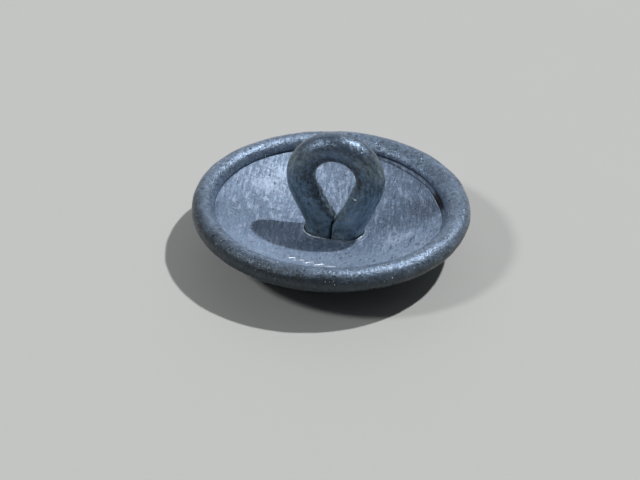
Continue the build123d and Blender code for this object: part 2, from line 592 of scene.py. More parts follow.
@dataclass(frozen=True)
class RimMetal:
    """Dull white metal of the rim and face: stained, pitted, with fine pale rubs; darker low down, where
    painted shade over some dirt lies on the outer wall, and painted shade in the crease by the plate.
    """

    clean: Colour = (0.195, 0.272, 0.39, 1.0)
    stained: Colour = (0.085, 0.12, 0.165, 1.0)
    pale: Colour = (0.36, 0.45, 0.60, 1.0)
    pit_colour: Colour = (0.03, 0.04, 0.055, 1.0)
    # painted shade over some dirt: darkens the low outer wall, reaching higher on the front-left side
    grime: Colour = (0.022, 0.03, 0.031, 1.0)
    grime_heights: tuple = (3.5, 4.45)  # where the painted shade is full, and where it ends
    grime_way: tuple = (-0.72, -0.69, 0.0)  # side where the painted shade reaches higher
    grime_reach: tuple = (3.0, 11.0)  # how far out on that side the rise begins and is full
    grime_rise: float = 0.6
    outer_wall: tuple = (10.2, 10.9)  # radii between which the painted shade comes in
    seam_heights: tuple = (3.62, 3.8)  # painted shade in the crease where the lip meets the plate

    def low_grime(self, m: Material) -> Socket:
        """Mask of the painted shade, over some dirt, low on the outer wall, and of the painted shade in the
        crease inside.

        Args:
            m: the material in the making.

        Returns:
            The mask.
        """
        height = m.axis("Z", m.place)
        side = m.vectors("DOT_PRODUCT", m.place, self.grime_way)
        side = m.between(side, *self.grime_reach, end=self.grime_rise)
        level = m.maths("SUBTRACT", m.maths("ADD", height, m.shake(0.8, 0.9)), side)
        reach = m.vectors("LENGTH", m.vectors("MULTIPLY", m.place, (1.0, 1.0, 0.0)))
        outside = m.between(reach, *self.outer_wall)
        low = m.times(m.between(level, *self.grime_heights, 1.0, 0.0), outside)
        # painted shade in the crease where the lip meets the plate
        seam = m.times(m.between(height, *self.seam_heights, 0.8, 0.0), m.maths("SUBTRACT", 1.0, outside))
        return m.maths("ADD", low, seam)

    def make(self, groups: Trees) -> bpy.types.Material:
        """Build the material.

        Args:
            groups: the shader groups by name.

        Returns:
            The material.
        """
        m = Material("rim_metal", groups, self.clean)
        pits = m.group("pits", Spacing=0.4, Share=0.32, Width=0.3)
        grit = m.group("pits", Spacing=0.2, Share=0.5, Width=0.4)
        rubs = m.group("scratches", Turn=0.5, Width=0.05, Length=0.9, Depth_Cut=0.66)
        m.coat(self.stained, m.mottle(1.3, 0.38, 0.66), 0.4)
        m.coat(self.stained, m.mottle(0.42, 0.5, 0.6), 0.65)
        m.coat(self.pale, m.mottle(0.3, 0.5, 0.62), 0.5)
        # painted shade low on the outer wall and in the crease by the plate
        m.coat(self.grime, self.low_grime(m), 0.88)
        m.coat(self.pit_colour, pits["Mask"], 0.75)
        m.emboss(m.noise(0.18, 4.0, 0.68), 0.055)
        m.emboss(grit["Height"], 0.03)
        m.emboss(rubs["Grain"], 0.004)
        m.emboss(pits["Height"], 0.06)
        return m.finish(Metallic=0.48, Roughness=m.gloss(0.5, 0.2, 0.4, detail=4.0))


@dataclass(frozen=True)
class PlateMetal:
    """Filed white metal of the dished back: straight scratches, pits and stains, with painted highlights on
    the dish, painted shade towards its far side and in the gap by the lip, and painted light towards its near
    side.
    """

    clean: Colour = (0.3, 0.41, 0.58, 1.0)
    dull: Colour = (0.13, 0.184, 0.275, 1.0)
    pale: Colour = (0.50, 0.61, 0.78, 1.0)
    cut_colour: Colour = (0.06, 0.08, 0.115, 1.0)
    # painted shade in the gap by the lip
    slit_colour: Colour = (0.055, 0.05, 0.056, 1.0)
    # painted highlights: pale patches on the dish where the lamps glint, each a middle in mm and a size
    worn_spots: tuple = (((5.3, -2.2), 1.15), ((6.2, -1.85), 0.85), ((-5.4, 4.9), 1.9), ((-4.3, 6.4), 1.5))
    flattened: float = 1.25  # how much wider than deep those spots are
    slit_from: float = 8.98  # radius where the slit begins
    slit_middle: float = 1.9  # its middle and half its length, along Y
    slit_half: float = 1.3
    turns: tuple = (math.radians(6), math.radians(27))  # of the main scratches and the ones across them
    far_side: tuple = (-6.0, 1.0)  # Y where the painted shade on the far side starts, and where it is fullest
    brushed_side: tuple = (-5.0, 1.0)  # X where the dark cuts start to be deeper, and where they are deepest

    def spots(self, m: Material) -> Socket:
        """Mask of the painted highlights.

        Args:
            m: the material in the making.

        Returns:
            The mask.
        """
        total = 0.0
        flat = m.vectors("MULTIPLY", m.place, (1.0, self.flattened, 0.0))
        shake = m.times(m.noise(0.3, 5.0, 0.75), 3.4)
        for (x, y), size in self.worn_spots:
            near = m.maths("DIVIDE", m.vectors("DISTANCE", flat, (x, self.flattened * y, 0.0)), size)
            total = m.maths("MAXIMUM", total, m.between(m.maths("ADD", near, shake), 1.9, 2.7, 1.0, 0.0))
        return total

    def slit(self, m: Material) -> Socket:
        """Mask of the painted shade in the gap by the lip.

        Args:
            m: the material in the making.

        Returns:
            The mask.
        """
        span = m.vectors("LENGTH", m.vectors("MULTIPLY", m.place, (1.0, 1.0, 0.0)))
        along = m.maths("DIVIDE", m.maths("SUBTRACT", m.axis("Y", m.place), self.slit_middle), self.slit_half)
        bend = m.times(m.times(along, along), 0.25)
        past = m.maths("SUBTRACT", m.maths("SUBTRACT", span, self.slit_from), bend)
        return m.times(m.between(past, -0.04, 0.16), m.between(m.axis("X", m.place), 7.0, 8.0))

    def make(self, groups: Trees) -> bpy.types.Material:
        """Build the material.

        Args:
            groups: the shader groups by name.

        Returns:
            The material.
        """
        m = Material("plate_metal", groups, self.clean)
        main = m.group("scratches", Turn=self.turns[0], Width=0.15, Length=2.4, Depth_Cut=0.66)
        cross = m.group("scratches", Turn=self.turns[1], Width=0.17, Length=1.6, Depth_Cut=0.67)
        pits = m.group("pits", Spacing=0.5, Share=0.32, Width=0.24)
        drawn = m.vectors("MULTIPLY", m.place, (1.0, 0.25, 1.0))
        grain = m.between(main["Grain"], 0.38, 0.62)
        # behind: painted shade that grows towards the far side, and painted light towards the near side
        behind = m.between(m.axis("Y", m.place), *self.far_side)
        brushed = m.between(m.axis("X", m.place), *self.brushed_side, 0.15, 0.65)
        duller = m.maths("MULTIPLY_ADD", behind, 0.65, 0.1)
        # cloudy stains whose share grows towards the far side as painted shade
        m.coat(self.dull, m.between(m.mottle(2.2, 0.42, 0.58), 0.0, 1.0, end=duller))
        # grain, darker towards the far side as painted shade
        m.coat(self.dull, grain, m.maths("MULTIPLY_ADD", behind, 0.45, 0.3))
        m.coat(self.dull, m.mottle(0.9, 0.52, 0.62), 0.4)
        # painted shade towards the far side
        m.coat(self.dull, m.between(behind, 0.0, 1.0, 0.0, 0.36))
        # painted light towards the near side
        m.coat(self.pale, m.between(behind, 0.0, 0.6, 0.14, 0.0))
        m.coat(self.dull, m.mottle(0.2, 0.52, 0.6, Vector=drawn), 0.5)
        m.coat(self.pale, m.mottle(0.3, 0.54, 0.62, Vector=drawn), 0.45)
        # painted highlights on the dish
        m.coat(self.pale, self.spots(m), 0.55)
        m.coat(self.pale, m.mottle(0.24, 0.56, 0.64), 0.45)
        m.coat(self.cut_colour, main["Deep"], brushed)
        m.coat(self.cut_colour, cross["Deep"], brushed)
        m.coat(self.cut_colour, pits["Mask"], 0.8)
        # painted shade in the gap by the lip
        m.coat(self.slit_colour, self.slit(m))
        m.emboss(main["Grain"], 0.055)
        m.emboss(cross["Grain"], 0.02)
        m.emboss(m.times(main["Deep"], -1.0), 0.022)
        m.emboss(m.noise(0.24, 4.0, 0.65), 0.06)
        m.emboss(pits["Height"], 0.05)
        return m.finish(Metallic=0.38, Roughness=m.between(grain, 0.0, 1.0, 0.42, 0.56))


@dataclass(frozen=True)
class EyeMetal:
    """Dark bent wire: mottled and pitted, faintly streaked, brown inside the bend with painted shade on its
    inner faces, and rubbed on top.
    """

    dark: Colour = (0.087, 0.127, 0.155, 1.0)
    lighter: Colour = (0.245, 0.325, 0.40, 1.0)
    rubbed: Colour = (0.36, 0.45, 0.57, 1.0)
    brown: Colour = (0.078, 0.077, 0.066, 1.0)
    # painted shade on the wire's inner faces
    tarnish: Colour = (0.035, 0.042, 0.046, 1.0)
    pit_colour: Colour = (0.02, 0.027, 0.035, 1.0)
    top_colour: Colour = (0.105, 0.155, 0.235, 1.0)
    leg_colour: Colour = (0.235, 0.312, 0.35, 1.0)
    top_heights: tuple = (8.5, 9.6)  # between which the bluish top comes in
    leg_heights: tuple = (3.4, 6.2)  # between which the paler legs go out
    ring_heights: tuple = (5.0, 6.8)  # between which the brown of the round end comes in
    ring_side: tuple = (-0.9, 0.3)  # how far inwards that brown starts, and is full
    # how far inwards the painted shade starts, and where it is full
    tarnish_side: tuple = (0.85, 1.35)

    def make(self, groups: Trees) -> bpy.types.Material:
        """Build the material.

        Args:
            groups: the shader groups by name.

        Returns:
            The material.
        """
        m = Material("eye_metal", groups, self.dark)
        stored = m.add("ShaderNodeAttribute", {"attribute_name": "straight"}).outputs["Vector"]
        unrolled = m.vectors("SCALE", stored, 1 / MM)
        inward = m.maths("ADD", m.axis("Y", unrolled), m.shake(0.35, 1.2, 4.0))
        lines = m.noise(0.18, 4.0, 0.6, Vector=m.vectors("MULTIPLY", unrolled, (0.35, 1.0, 1.0)))
        fine = m.mottle(0.32, 0.5, 0.62)
        pits = m.group("pits", Spacing=0.4, Share=0.4, Width=0.3)
        height = m.axis("Z", m.place)
        top = m.between(height, *self.top_heights)
        legs = m.between(height, *self.leg_heights, 0.8, 0.0)
        ring = m.times(m.between(height, *self.ring_heights), m.between(inward, *self.ring_side))
        m.coat(self.lighter, m.between(lines, 0.38, 0.64))
        m.coat(self.leg_colour, legs, m.between(m.noise(0.3, 4.0, 0.65), 0.38, 0.6))
        m.coat(self.brown, ring, m.between(m.mottle(0.8, 0.44, 0.58), 0.0, 1.0, 0.45, 0.9))
        m.coat(self.lighter, fine, 0.4)
        m.coat(self.top_colour, top, 0.75)
        m.coat(self.rubbed, top, m.times(fine, 0.3))
        # painted shade on the wire's inner faces
        m.coat(self.tarnish, m.between(inward, *self.tarnish_side), 0.7)
        m.coat(self.rubbed, m.mottle(0.26, 0.62, 0.7), 0.4)
        m.coat(self.pit_colour, pits["Mask"], 0.6)
        m.emboss(lines, 0.035)
        m.emboss(m.noise(0.2, 4.0, 0.65), 0.045)
        m.emboss(pits["Height"], 0.05)
        return m.finish(Metallic=0.55, Roughness=m.gloss(0.4, 0.15, 0.36))


@dataclass(frozen=True)
class SolderMetal:
    """Dull solder of the skirt round the legs."""

    dull: Colour = (0.18, 0.24, 0.33, 1.0)
    bright: Colour = (0.42, 0.50, 0.62, 1.0)

    def make(self, groups: Trees) -> bpy.types.Material:
        """Build the material.

        Args:
            groups: the shader groups by name.

        Returns:
            The material.
        """
        m = Material("solder_metal", groups, self.dull)
        m.coat(self.bright, m.mottle(0.35, 0.42, 0.66), 0.6)
        m.emboss(m.noise(0.11, 4.0), 0.02)
        return m.finish(Metallic=0.65, Roughness=m.gloss(0.3, 0.35, 0.5))


@dataclass(frozen=True)
class CrumbMetal:
    """Tiny bright crumbs on the metal."""

    light: Colour = (0.62, 0.72, 0.85, 1.0)
    dark: Colour = (0.2, 0.25, 0.3, 1.0)

    def make(self, groups: Trees) -> bpy.types.Material:
        """Build the material."""
        m = Material("crumb_metal", groups, self.light)
        m.coat(self.dark, m.between(m.noise(0.3, 2.0), 0.42, 0.58))
        return m.finish(Metallic=0.7, Roughness=0.34)


@dataclass(frozen=True)
class BareMetal:
    """Freshly cut bright metal of the burr and the scratch."""

    light: Colour = (0.78, 0.84, 0.92, 1.0)
    shade: Colour = (0.42, 0.5, 0.6, 1.0)

    def make(self, groups: Trees) -> bpy.types.Material:
        """Build the material.

        Args:
            groups: the shader groups by name.

        Returns:
            The material.
        """
        m = Material("bare_metal", groups, self.light)
        m.coat(self.shade, m.between(m.noise(0.2, 3.0), 0.46, 0.62))
        m.emboss(m.noise(0.08, 2.0), 0.015)
        return m.finish(Metallic=0.4, Roughness=0.36)


@dataclass(frozen=True)
class CardStock:
    """Brown fibrous card of the filler."""

    pulp: Colour = (0.34, 0.25, 0.16, 1.0)
    fibre: Colour = (0.5, 0.4, 0.28, 1.0)

    def make(self, groups: Trees) -> bpy.types.Material:
        """Build the material.

        Args:
            groups: the shader groups by name.

        Returns:
            The material.
        """
        m = Material("card_stock", groups, self.pulp)
        fibres = m.group("scratches", Turn=0.9, Width=0.08, Length=0.7, Depth_Cut=0.6)
        m.coat(self.fibre, m.between(fibres["Grain"], 0.35, 0.7))
        m.emboss(fibres["Grain"], 0.03)
        return m.finish(Roughness=0.9)


@dataclass(frozen=True)
class FloorPaint:
    """Plain pale floor."""

    colour: Colour = (0.55, 0.558, 0.545, 1.0)
    darker: float = 0.985  # share of the colour's light in its faint clouds

    def make(self, groups: Trees) -> bpy.types.Material:
        """Build the material."""
        m = Material("floor_paint", groups, self.colour)
        m.coat(tuple(self.darker * c for c in self.colour[:3]) + (1.0,), m.noise(9.0, 2.0))
        return m.finish(Roughness=0.85)


class Finish(Enum):
    """The finishes, by the piece that wears them."""

    RIM = RimMetal()
    PLATE = PlateMetal()
    EYE = EyeMetal()
    SOLDER = SolderMetal()
    CRUMB = CrumbMetal()
    BARE = BareMetal()
    CARD = CardStock()
    FLOOR = FloorPaint()


@dataclass(frozen=True)
class Bar:
    """A round bar to sweep: its radius, the steps and sides of its mesh, and the lumps on its walls."""

    radius: float
    steps: int
    sides: int
    unevenness: float
    lump: float
    stretch: float  # a lump's width as a share of its length
    seed: float
    caps: bool = True


@dataclass(frozen=True)
class Crumbs:
    """Crumbs to strew: how many a square metre, their sizes, and how level the ground has to be."""

    density: float
    largest: float
    smallest: float
    upright: float
    seed: int


class Workshop:
    """The finishes, each made once, and the two Geometry Nodes trees."""

    def __init__(self) -> None:
        """Build the shader groups, the materials and the trees."""
        groups = {"mottle": mottle_group(), "pits": pits_group(), "scratches": scratches_group()}
        self.materials = {finish: finish.value.make(groups) for finish in Finish}
        self.sweep, self.crumbs = sweep_tree(), crumbs_tree()

    def dress(self, piece: Piece, finish: Finish) -> None:
        """Give a piece one material."""
        piece.data.materials.clear()
        piece.data.materials.append(self.materials[finish])

    def bend(self, path: Piece, bar: Bar, finish: Finish) -> Piece:
        """Sweep a bar along a path, which is used up.

        Args:
            path: the bar's middle line.
            bar: its sizes.
            finish: its finish.

        Returns:
            The bar as a mesh.
        """
        return apply_tree(
            path,
            self.sweep,
            Bar_Radius=bar.radius * MM,
            Steps=bar.steps,
            Sides=bar.sides,
            Unevenness=bar.unevenness * MM,
            Lump=bar.lump * MM,
            Stretch=bar.stretch,
            Seed=bar.seed,
            Caps=bar.caps,
            Finish=self.materials[finish],
        )

    def strew(self, piece: Piece, crumbs: Crumbs, above: float) -> Piece:
        """Join crumbs to the part of a piece that is above a height.

        Args:
            piece: the piece to strew.
            crumbs: sizes of the crumbs.
            above: the height.

        Returns:
            The piece with its crumbs.
        """
        strewn = apply_tree(
            in_scene(piece.name + "_crumbs", piece.data.copy()),
            self.crumbs,
            Density=crumbs.density,
            Largest=crumbs.largest * MM,
            Smallest=crumbs.smallest * MM,
            Above=above * MM,
            Upright=crumbs.upright,
            Seed=crumbs.seed,
            Finish=self.materials[Finish.CRUMB],
        )
        return join(piece.name, [piece, strewn])


# ---------------------------------------------------------------------------
# The button
# ---------------------------------------------------------------------------


@dataclass
class RimAndFace:
    """The front shell: a domed face whose edge is rolled back into a bead with a lip on the plate."""

    bead: float = 1.92  # section of the rolled rim
    sheet: float = 0.35
    land: float = 3.0  # radius of the smooth middle of the face
    rubbed: float = 0.05  # depth of metal lost there
    lip_drop: float = 0.08
    slope: float = 1.2  # power that flattens the roll's inner side; 1 is round
    sag: float = 0.12  # share of its height that the roll loses for each mm of the lip's reach
    around: int = 384
    dome_steps: int = 44
    roll_steps: int = 64
    hollow_steps: int = 16
    inner_steps: int = 24
    wide_lip: float = 0.42  # extra reach of the lip on its widest side
    wide_at: float = 32.0  # direction of that side, degrees from +X towards +Y
    wide_spread: float = 38.0
    lip_ripple: float = 0.04
    out_of_round: float = 0.035
    inset: float = 0.06  # keeps the uneven bead inside the CAD node's box
    waves: float = 0.04  # unevenness of the bead by hand
    crumbs: Crumbs = Crumbs(density=2.6e6, largest=0.062, smallest=0.018, upright=0.1, seed=7)
    radius: float = field(init=False)
    ring_radius: float = field(init=False)
    ring_z: float = field(init=False)
    brim_z: float = field(init=False)

    def __post_init__(self) -> None:
        """Take the outline from the CAD node."""
        high = node_box("front_shell")[1]
        self.radius = high.x - self.inset
        self.ring_radius = self.radius - self.bead / 2
        self.ring_z = high.z - self.bead / 2
        self.brim_z = self.ring_z - self.lip_drop

    def lip_reach(self, angle: float) -> float:
        """How much further inwards the lip comes at an angle in degrees.

        Args:
            angle: direction from +X towards +Y.

        Returns:
            The extra reach.
        """
        x, y = (9 * turned(math.radians(angle)) for turned in (math.cos, math.sin))
        ripple = self.lip_ripple * rough(x, y, 0, 3.5, 4.1)
        return self.wide_lip * near_angle(angle, self.wide_at, self.wide_spread) + ripple

    def lip_edge(self, angle: float) -> float:
        """Radius of the lip's inner edge at an angle in degrees."""
        return self.ring_radius - self.bead / 2 - self.lip_reach(angle)

    def profile(self, angle: float) -> Ring:
        """Section at an angle in degrees: radius, height, and how much handling shows there.

        Args:
            angle: direction from +X towards +Y.

        Returns:
            Points from the middle of the face, round the bead and back inside.
        """
        bead_r, hollow_r = self.bead / 2, self.bead / 2 - self.sheet
        edge = 2 * math.atan2(self.ring_z + self.rubbed - bead_r, self.ring_radius)
        dome_r = self.ring_radius / math.sin(edge) + bead_r
        dome_z = dome_r - self.rubbed
        first, last = edge - math.pi / 2, math.pi + math.asin(self.lip_drop / bead_r)
        inner_last = math.pi + math.asin(self.lip_drop / hollow_r)
        reach = self.lip_reach(angle)
        points = []
        for i in range(1, self.dome_steps):
            r = dome_r * math.sin(edge) * (i / self.dome_steps) ** 0.8
            z = max(dome_z - math.sqrt(dome_r**2 - r**2), 0.0)
            points.append((r, z, ease(self.land / 2, self.land, r)))
        for i in range(self.roll_steps + 1):
            a = first + (last - first) * i / self.roll_steps
            inward = ease(math.radians(80), math.radians(150), a)
            rise = math.sin(a)
            if a > math.pi / 2 and rise > 0:
                rise **= self.slope
            z = self.ring_z + bead_r * rise * (1 - self.sag * inward * reach)
            points.append((self.ring_radius + (bead_r + reach * inward) * math.cos(a), z, 1.0))
        end_r = points[-1][0]
        points += [(end_r + share * self.sheet, self.brim_z, 0.0) for share in (0.3, 0.7)]
        for i in range(self.hollow_steps + 1):
            a = inner_last + (first - inner_last) * i / self.hollow_steps
            r, z = self.ring_radius + hollow_r * math.cos(a), self.ring_z + hollow_r * math.sin(a)
            points.append((r, z, 0.0))
        for i in range(1, self.inner_steps):
            r = (dome_r - self.sheet) * math.sin(edge) * (1 - i / self.inner_steps)
            points.append((r, dome_z - math.sqrt((dome_r - self.sheet) ** 2 - r**2), 0.0))
        return points

    def column(self, turn: float) -> Ring:
        """Section at an angle in degrees, as uneven as a hand-closed rim.

        Args:
            turn: direction from +X towards +Y.

        Returns:
            Points in the button's frame.
        """
        c, s = math.cos(math.radians(turn)), math.sin(math.radians(turn))
        oval = math.sin(math.radians(2 * turn + 50)) + 0.6 * math.sin(math.radians(3 * turn))
        column = []
        for r, z, worn in self.profile(turn):
            wave = self.waves * worn * rough(r * c, r * s, z, 2.2, 1.7)
            wave += 0.35 * self.waves * worn * rough(r * c, r * s, z, 0.7, 5.2)
            lift = wave * (1.0 if z > self.ring_z else -0.4)
            r += (self.out_of_round * oval + wave) * ease(self.land, 10.0, r) * (1.0 if worn else 0.6)
            column.append((r * c, r * s, max(z + lift * (worn and z > 0.2), 0.0)))
        return column

    def build(self, shop: Workshop) -> Piece:
        """Make the shell's mesh.

        Args:
            shop: the finishes and the trees.

        Returns:
            The finished shell.
        """
        columns = [self.column(360 * k / self.around) for k in range(self.around)]
        shell = loft("rim_and_face", [list(ring) for ring in zip(*columns)], closed=False)
        shop.dress(shell, Finish.RIM)
        shell = shop.strew(shell, self.crumbs, self.brim_z)
        seat(shell, "front_shell")
        return shell


@dataclass
class DishedBack:
    """The back plate: a filed dish with a hole for the legs, a ridge by the lip and a scratch in front."""

    rim: RimAndFace
    depth: float = 2.48
    sheet: float = 0.35
    around: int = 420
    steps: int = 118
    under_steps: int = 16
    under_lip: float = 0.95  # how far the plate goes on under the lip
    waves: float = 0.035
    ridge: float = 0.1  # height of the ridge along the lip, and its direction in degrees
    ridge_at: float = 30.0
    slit: float = 0.2  # depth of the gap where the plate doesn't reach the lip
    slit_at: float = 11.0  # its direction in degrees
    pit_count: int = 46
    pit_widths: tuple = (0.07, 0.16)
    pit_depths: tuple = (0.015, 0.04)
    scratch: tuple = (
        *((-3.3, -5.6), (-2.7, -5.3), (-2.8, -6.05), (-2.05, -5.5), (-2.05, -6.35)),
        *((-1.3, -5.85), (-1.2, -6.65), (-0.5, -6.3), (-0.3, -6.85), (0.6, -6.8)),
    )
    scratch_x: tuple = (-3.7, 0.8)  # the part of the plate that it touches
    scratch_y: tuple = (-7.4, -5.0)
    scratch_depth: float = 0.03
    scratch_width: float = 0.07
    scratch_steps: int = 12  # of each straight stroke
    burr: Bar = Bar(radius=0.1, steps=140, sides=8, unevenness=0.04, lump=0.12, stretch=1.0, seed=3.0)
    crumbs: Crumbs = Crumbs(density=1.2e6, largest=0.05, smallest=0.016, upright=0.7, seed=11)
    edge: float = field(init=False)
    bottom: float = field(init=False)
    ball: float = field(init=False)
    pits: list = field(init=False)

    def __post_init__(self) -> None:
        """Work out the dish, and place the pits."""
        bead_r = self.rim.bead / 2
        self.edge = self.rim.ring_radius - math.sqrt(bead_r**2 - self.rim.lip_drop**2)
        self.bottom = self.rim.brim_z - self.depth
        self.ball = (self.edge**2 + self.depth**2) / (2 * self.depth)
        luck = random.Random(12)
        self.pits = []
        for _ in range(self.pit_count):
            r, a = self.edge * math.sqrt(luck.uniform(0.06, 0.95)), luck.uniform(0, math.tau)
            width, deep = luck.uniform(*self.pit_widths), luck.uniform(*self.pit_depths)
            self.pits.append((r * math.cos(a), r * math.sin(a), width, deep))

    def dish(self, x: float, y: float) -> float:
        """Height of the plain dish."""
        r = min(math.hypot(x, y), self.edge)
        return self.bottom + self.ball - math.sqrt(self.ball**2 - r**2)

    def cut(self, x: float, y: float) -> float:
        """Height of the scratch's groove, with its raised sides.

        Args:
            x: place along X.
            y: place along Y.

        Returns:
            Height above the plain plate, negative in the groove.
        """
        (left, right), (near, far) = self.scratch_x, self.scratch_y
        if not (left < x < right and near < y < far):
            return 0.0
        here, gap = Vector((x, y)), math.inf
        for a, b in zip(self.scratch, self.scratch[1:]):
            a, b = Vector(a), Vector(b)
            t = min(max((here - a).dot(b - a) / (b - a).length_squared, 0.0), 1.0)
            gap = min(gap, (here - a - t * (b - a)).length)
        raised = 0.7 * bell(gap - 2 * self.scratch_width, self.scratch_width)
        return self.scratch_depth * (raised - bell(gap, self.scratch_width))

    def height(self, x: float, y: float) -> float:
        """Height of the finished upper face.

        Args:
            x: place along X.
            y: place along Y.

        Returns:
            The height.
        """
        r, turn = math.hypot(x, y), math.degrees(math.atan2(y, x))
        free = 1 - ease(self.edge - 0.5, self.edge + 0.1, r)
        z = self.dish(x, y) + self.waves * free * (rough(x, y, 0, 3.4, 2.3) + 0.4 * rough(x, y, 0, 1.2, 8.0))
        lip = self.rim.lip_edge(turn)
        side = self.ridge * near_angle(turn, self.ridge_at, 26.0)
        z += side * (bell(r - lip + 0.26, 0.1) - bell(r - lip + 0.06, 0.1))
        missing = near_angle(turn, self.slit_at, 13.0) + 0.4 * near_angle(turn, self.slit_at - 22, 10.0)
        z -= self.slit * missing * ease(lip - 0.1 - 0.3 * missing, lip, r)
        z += self.cut(x, y)
        for px, py, width, deep in self.pits:
            if abs(x - px) < 3 * width and abs(y - py) < 3 * width:
                z -= deep * bell(math.hypot(x - px, y - py), width)
        return min(z, self.rim.brim_z) if r > lip - 0.02 else z

    def scratch_burr(self, shop: Workshop) -> Piece:
        """The scratch's fine bright burr, which stands on the plate.

        Args:
            shop: the finishes and the trees.

        Returns:
            The burr as a mesh.
        """
        points, radii = [], []
        for a, b in zip(self.scratch, self.scratch[1:]):
            for i in range(self.scratch_steps):
                t = i / self.scratch_steps
                x, y = a[0] + (b[0] - a[0]) * t, a[1] + (b[1] - a[1]) * t
                points.append((x, y, self.height(x, y) + 0.02))
                radii.append(0.75 + 0.5 * rough(x, y, 0, 0.5, 7.7))
        return shop.bend(path_curve("scratch", points, radii=radii), self.burr, Finish.BARE)

    def build(self, hole: Ring, shop: Workshop) -> Piece:
        """Make the plate's mesh between the legs' hole and the inside of the bead.

        Args:
            hole: outline of the hole, in mm, evenly spaced, starting at +X and turning towards +Y.
            shop: the finishes and the trees.

        Returns:
            The finished plate.
        """
        reach = self.edge + self.under_lip

        def circle(t: float) -> list[tuple[float, float]]:
            """Places all round, at a share of the way from the hole's outline to the plate's rim."""
            places = []
            for i, (x, y, _) in enumerate(hole):
                turn = math.tau * i / len(hole)
                far_x, far_y = reach * math.cos(turn), reach * math.sin(turn)
                places.append((x * (1 - t) + far_x * t, y * (1 - t) + far_y * t))
            return places

        shares = [k / (self.steps - 1) for k in range(self.steps)]
        rings = [[(x, y, self.height(x, y)) for x, y in circle(t)] for t in shares]
        shares = [1 - k / (self.under_steps - 1) for k in range(self.under_steps)]
        rings += [[(x, y, self.dish(x, y) - self.sheet) for x, y in circle(t)] for t in shares]
        plate = loft("dished_back", rings, closed=True)
        shop.dress(plate, Finish.PLATE)
        plate = join(plate.name, [plate, self.scratch_burr(shop)])
        plate = shop.strew(plate, self.crumbs, self.bottom - 0.1)
        seat(plate, "back_plate")
        return plate


